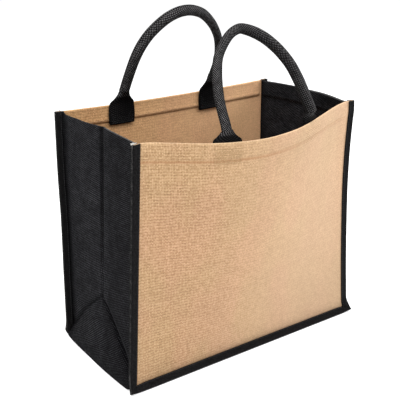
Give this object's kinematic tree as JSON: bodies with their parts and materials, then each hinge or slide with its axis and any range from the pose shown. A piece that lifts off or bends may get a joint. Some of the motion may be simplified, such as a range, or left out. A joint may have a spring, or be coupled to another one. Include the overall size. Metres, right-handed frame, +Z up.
{
  "type": "jute tote bag",
  "caption": "Upright open tote bag of natural jute with a dark side and base strip, bound outer seams and padded loop handles.",
  "frame": {"origin": "middle of the box around the standing bag, at floor level", "axes": "+X along the front panel to its right end, +Y from the front panel to the back panel, +Z up"},
  "size_m": [0.4114, 0.2625, 0.4891],
  "materials": {
    "jute": "plain woven natural jute, matt",
    "dark_jute": "plain woven jute dyed black, matt",
    "binding_tape": "black woven tape, matt",
    "handle_webbing": "black herringbone webbing, matt"
  },
  "bodies": {
    "root": {"front_panel": "jute", "back_panel": "jute", "gusset": "dark_jute", "front_binding": "binding_tape", "back_binding": "binding_tape", "front_handle": "handle_webbing", "back_handle": "handle_webbing"}
  },
  "joints": []
}
